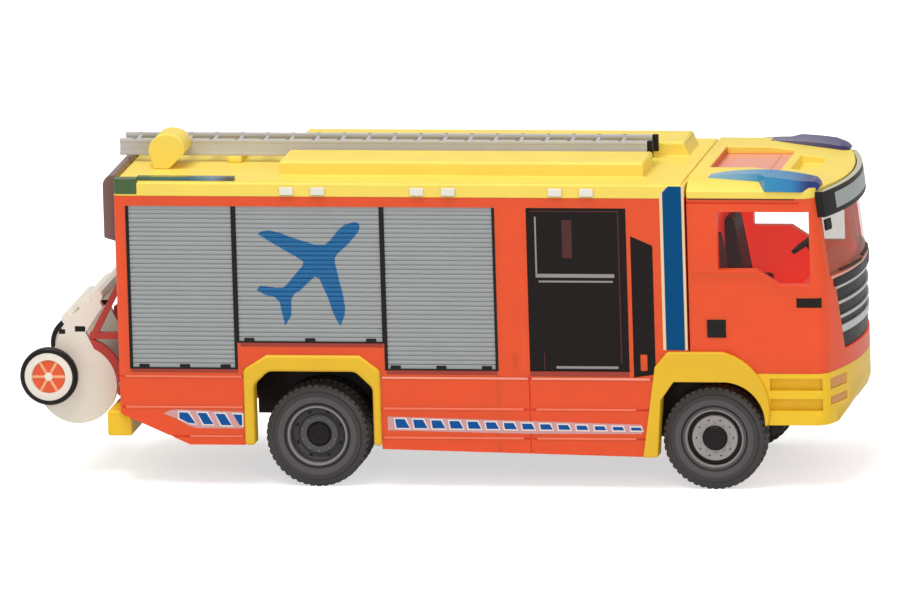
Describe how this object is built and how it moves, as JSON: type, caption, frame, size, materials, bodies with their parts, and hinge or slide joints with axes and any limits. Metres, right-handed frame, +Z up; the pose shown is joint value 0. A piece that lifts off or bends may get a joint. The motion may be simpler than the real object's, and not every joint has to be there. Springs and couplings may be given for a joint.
{
  "type": "scale model airport fire engine",
  "caption": "Plastic scale model of a cab-over airport fire engine with ribbed shutters, roof ladder and a hose-reel trolley at the rear; it rolls on its wheels.",
  "frame": {"origin": "on the ground, on the centre plane, halfway along the whole model", "axes": "+X forward, +Y to the vehicle's left, +Z up"},
  "size_m": [0.1028, 0.0296, 0.0422],
  "materials": {
    "orange": "satin moulded plastic, bright orange-red",
    "yellow": "satin moulded plastic, warm yellow",
    "silver_shutter": "silver-grey printed plastic, ribbed",
    "black": "black plastic",
    "dark_glass": "black tinted glazing, gloss",
    "clear_glass": "clear moulded glazing",
    "blue_lens": "translucent blue lens",
    "amber_lens": "amber-tinted lens",
    "white_lamp": "pale lamp, gloss",
    "red_lens": "red lens",
    "silver": "silver plastic",
    "ladder_grey": "silver-grey plastic",
    "smoked": "smoked grey-brown plastic",
    "cream": "cream plastic",
    "red": "dark red plastic",
    "rim_grey": "dark grey rim",
    "tyre": "dark brown-grey soft tyre",
    "interior_red": "orange-red interior moulding",
    "hose": "woven hose"
  },
  "bodies": {
    "root": {"beacon_left": "blue_lens", "beacon_right": "blue_lens", "body_roof": "yellow", "body_shell": "orange", "cab_hatch": "orange", "cab_interior": "interior_red", "cab_mount": "black", "cab_roof": "yellow", "cab_shell": "orange", "chassis": "black", "crew_windows": "dark_glass", "door_handles": "black", "door_windows": "clear_glass", "driveline": "black", "floor_pan": "black", "front_arches": "yellow", "front_bumper": "yellow", "fuel_tank": "black", "grille": "black", "grille_bars": "silver", "headlamps": "amber_lens", "ladder": "ladder_grey", "ladder_cradles": "yellow", "ladder_guard": "yellow", "mud_flaps": "black", "rear_arches": "yellow", "rear_beacons": "blue_lens", "rear_bumper": "yellow", "rear_housing": "smoked", "rear_shutter": "silver_shutter", "reel_frame": "cream", "reel_hose": "hose", "reel_rack": "red", "seats": "black", "shutter_frames": "black", "shutters_left": "silver_shutter", "shutters_right": "silver_shutter", "side_lamps": "white_lamp", "side_vents": "black", "silencer": "black", "steering_wheel": "black", "sun_visor": "black", "tail_lamps": "red_lens", "windscreen": "clear_glass"},
    "front_wheels": {"front_axle": "black", "front_rim_left": "rim_grey", "front_rim_right": "rim_grey", "front_tyre_left": "tyre", "front_tyre_right": "tyre"},
    "rear_wheels": {"rear_axle": "black", "rear_rim_left": "rim_grey", "rear_rim_right": "rim_grey", "rear_tyre_left": "tyre", "rear_tyre_right": "tyre"},
    "reel_wheel_pair": {"reel_tyres": "black", "reel_wheels": "cream"}
  },
  "joints": [
    {"name": "front_axle_spin", "type": "hinge", "parent": "root", "child": "front_wheels", "pos_m": [0.03467, 0, 0.0063], "axis": [0, 1, 0], "continuous": true},
    {"name": "rear_axle_spin", "type": "hinge", "parent": "root", "child": "rear_wheels", "pos_m": [-0.01418, 0, 0.0063], "axis": [0, 1, 0], "continuous": true},
    {"name": "reel_wheel_spin", "type": "hinge", "parent": "root", "child": "reel_wheel_pair", "pos_m": [-0.04782, 0, 0.0127], "axis": [0, 1, 0], "continuous": true}
  ]
}
